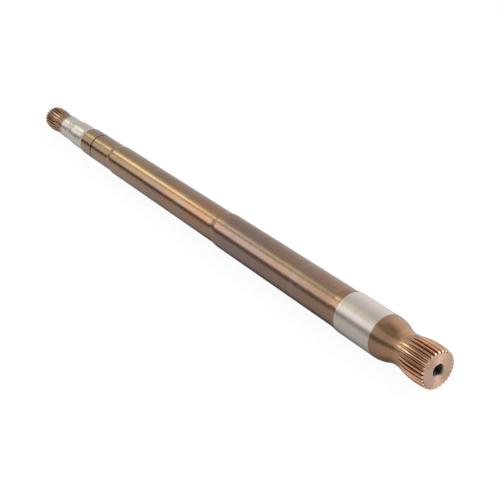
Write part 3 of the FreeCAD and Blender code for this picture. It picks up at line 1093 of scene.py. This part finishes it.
def studio_world():
    """White surroundings: dim as a light, plain white to the camera, and graded in a gloss."""
    world = bpy.data.worlds.new("studio")
    world.use_nodes = True
    tree = Tree(world.node_tree)
    rays = tree.add("ShaderNodeLightPath").outputs
    x, y = tree.axes(tree.add("ShaderNodeTexCoord").outputs["Generated"])[:2]
    left = tree.rescale(y, 0.0, WORLD_WHOLE_Y, level_along(tree, x, WORLD_ABOVE))
    level = tree.maths("MULTIPLY", level_along(tree, x, WORLD_LEVELS), left)
    graded = tree.maths("SUBTRACT", level, WORLD_LIGHT)
    strength = tree.maths("MULTIPLY_ADD", seen_in_gloss(tree, rays), graded, WORLD_LIGHT)
    strength = tree.maths("MULTIPLY_ADD", rays["Is Camera Ray"], 1 - WORLD_LIGHT, strength)
    backdrop = world.node_tree.nodes["Background"].inputs
    tree.feed(backdrop["Strength"], strength)
    backdrop["Color"].default_value = WHITE
    return world


def photo_camera(studio, plan):
    """The camera, placed from the near face: back along the view and aside from its axis."""
    data = bpy.data.cameras.new("camera")
    data.sensor_width = 36.0
    data.lens = studio.focal_pixels / PICTURE_WIDTH * data.sensor_width
    data.shift_x = -studio.frame_shift
    data.shift_y = studio.frame_shift
    right = Vector((math.cos(studio.azimuth), math.sin(studio.azimuth), 0.0))
    level_back = Vector((math.sin(studio.azimuth), -math.cos(studio.azimuth), 0.0))
    back = level_back * math.cos(studio.elevation) + Vector((0.0, 0.0, math.sin(studio.elevation)))
    up = back.cross(right)
    near_face = ALONG * plan.origin_at
    place = near_face + back * studio.back - right * studio.face_right + up * studio.face_below
    camera = bpy.data.objects.new("camera", data)
    turned = Matrix((right, up, back)).transposed().to_4x4()
    camera.matrix_world = Matrix.Translation(place) @ turned
    bpy.context.scene.collection.objects.link(camera)
    return camera


class SHAFT_OT_stage(bpy.types.Operator):
    """Builds the white floor, the lamp, the reflectors, the surroundings and the camera"""
    bl_idname = "shaft.stage"
    bl_label = "Build Stage"
    bl_options = {"REGISTER", "UNDO"}

    def execute(self, context):
        scene = context.scene
        plan = ShaftPlan(scene)
        half = scene.shaft_studio.floor_size / 2
        down = -plan.bar.near_seat / 2
        corners = [(x * half, y * half, down) for x, y in ((-1, -1), (1, -1), (1, 1), (-1, 1))]
        flat_sheet("floor", corners, floor_material())

        softbox("top_box", angle=-50, spread=60, distance=1.0, from_x=-0.35, to_x=1.2, strength=1.5)
        for name, distance, angle, spread, colour, levels in REFLECTORS:
            reflector(name, facing_edges(distance, angle, spread), colour, levels)
        flag_top = FLAG_DISTANCE / math.tan(math.radians(FLAG_TOP_ANGLE))
        reflector("flag", [(-FLAG_DISTANCE, down), (-FLAG_DISTANCE, flag_top)], WHITE, FLAG_LEVELS)

        scene.world = studio_world()
        scene.camera = photo_camera(scene.shaft_studio, plan)
        scene.view_settings.view_transform = "Standard"
        return {"FINISHED"}


class SHAFT_PT_panel(bpy.types.Panel):
    """Lists the builders and their sizes"""
    bl_label = "Drive Shaft"
    bl_idname = "SHAFT_PT_panel"
    bl_space_type = "VIEW_3D"
    bl_region_type = "UI"
    bl_category = "Drive Shaft"

    def draw(self, context):
        for operator in OPERATORS:
            self.layout.operator(operator.bl_idname)
        for attribute, group in GROUPS.items():
            box = self.layout.box()
            box.label(text=group.__doc__)
            settings = getattr(context.scene, attribute)
            for name in group.__annotations__:
                box.prop(settings, name)


GROUPS = {
    "shaft_tooth": ToothForm,
    "shaft_near_spline": NearSpline,
    "shaft_far_spline": FarSpline,
    "shaft_bar": BarSizes,
    "shaft_holes": HoleSizes,
    "shaft_finish": SteelFinish,
    "shaft_studio": StudioSizes,
}
OPERATORS = (SHAFT_OT_build, SHAFT_OT_stage)
CLASSES = (*GROUPS.values(), *OPERATORS, SHAFT_PT_panel)


def register():
    for cls in CLASSES:
        bpy.utils.register_class(cls)
    for attribute, group in GROUPS.items():
        setattr(bpy.types.Scene, attribute, PointerProperty(type=group))


def unregister():
    for attribute in GROUPS:
        delattr(bpy.types.Scene, attribute)
    for cls in reversed(CLASSES):
        bpy.utils.unregister_class(cls)


def main():
    """Registers the classes, and builds the shaft and its stage."""
    register()
    bpy.ops.shaft.build()
    bpy.ops.shaft.stage()


if __name__ == "__main__":
    main()
